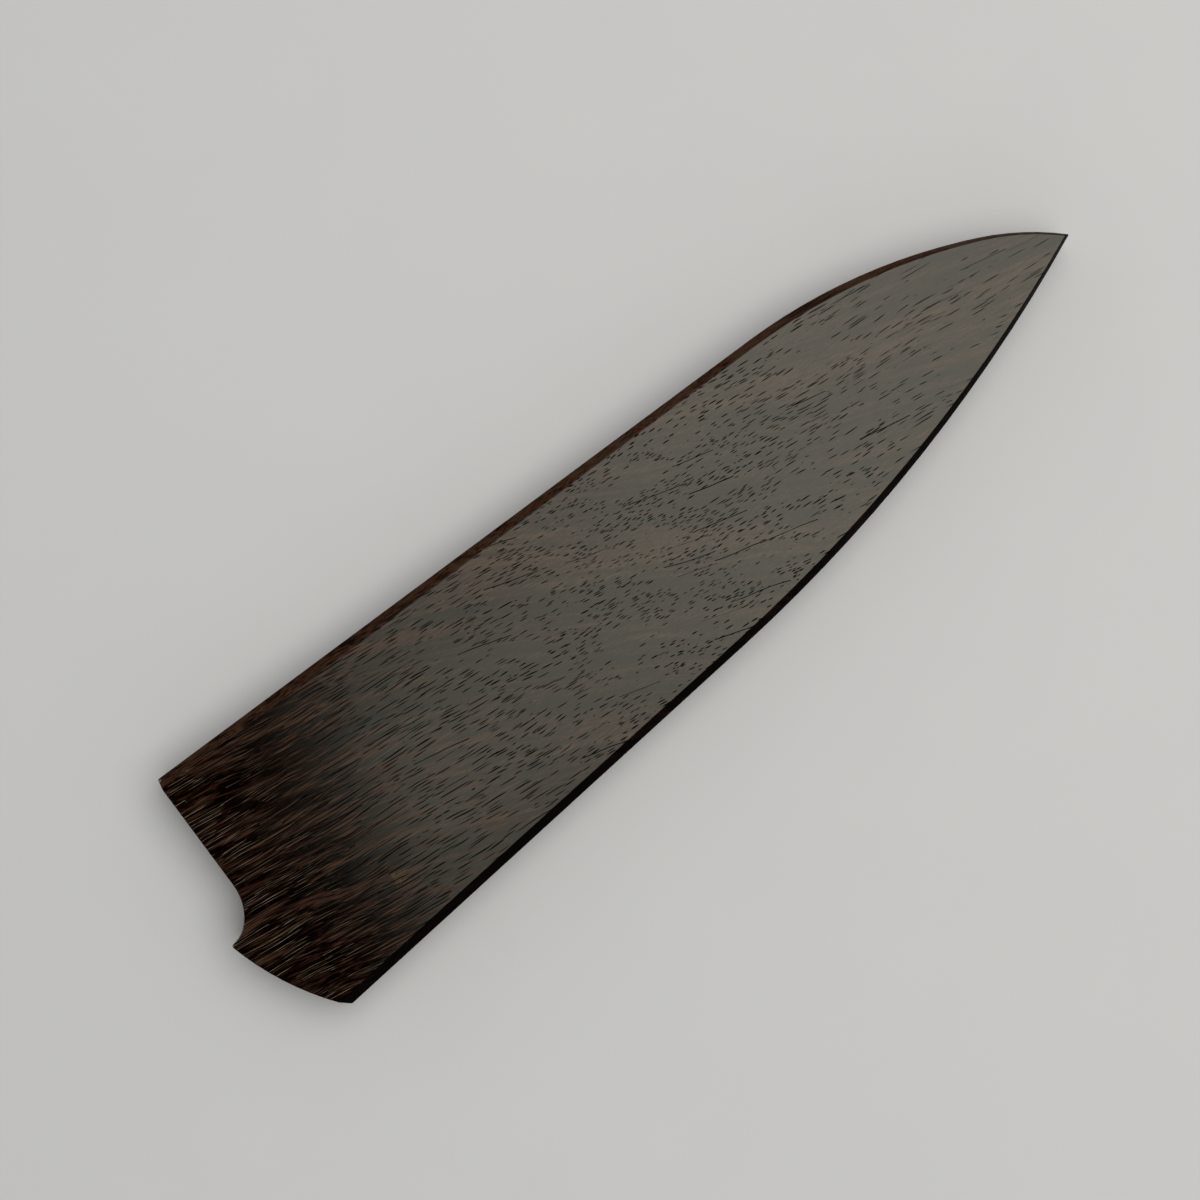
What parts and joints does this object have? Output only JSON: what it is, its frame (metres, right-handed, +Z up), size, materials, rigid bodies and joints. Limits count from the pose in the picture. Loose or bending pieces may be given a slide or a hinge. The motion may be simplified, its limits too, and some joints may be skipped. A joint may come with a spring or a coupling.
{
  "type": "knife blade guard",
  "caption": "Flat wooden knife sheath with bevelled rims, a hooked mouth line and a blade slot between two face panels.",
  "frame": {"origin": "centre of the box's underside, on the surface that the sheath lies on", "axes": "+X from the mouth to the tip along the straight spine side, +Y to the spine side, +Z up through the front face"},
  "size_m": [0.199, 0.0538, 0.011],
  "materials": {
    "face_wood": "satin lacquer over dark open-pored wood",
    "core_wood": "satin lacquer over dark open-pored wood",
    "cover_wood": "bare sanded dark wood",
    "magnet_plating": "bright nickel plating"
  },
  "bodies": {
    "root": {"front_face": "face_wood", "back_face": "face_wood", "spine_strip": "core_wood", "edge_strip": "core_wood", "front_heel_cover": "cover_wood", "front_middle_cover": "cover_wood", "front_tip_cover": "cover_wood", "back_heel_cover": "cover_wood", "back_middle_cover": "cover_wood", "back_tip_cover": "cover_wood", "front_heel_magnet": "magnet_plating", "front_middle_magnet": "magnet_plating", "front_tip_magnet": "magnet_plating", "back_heel_magnet": "magnet_plating", "back_middle_magnet": "magnet_plating", "back_tip_magnet": "magnet_plating"}
  },
  "joints": []
}
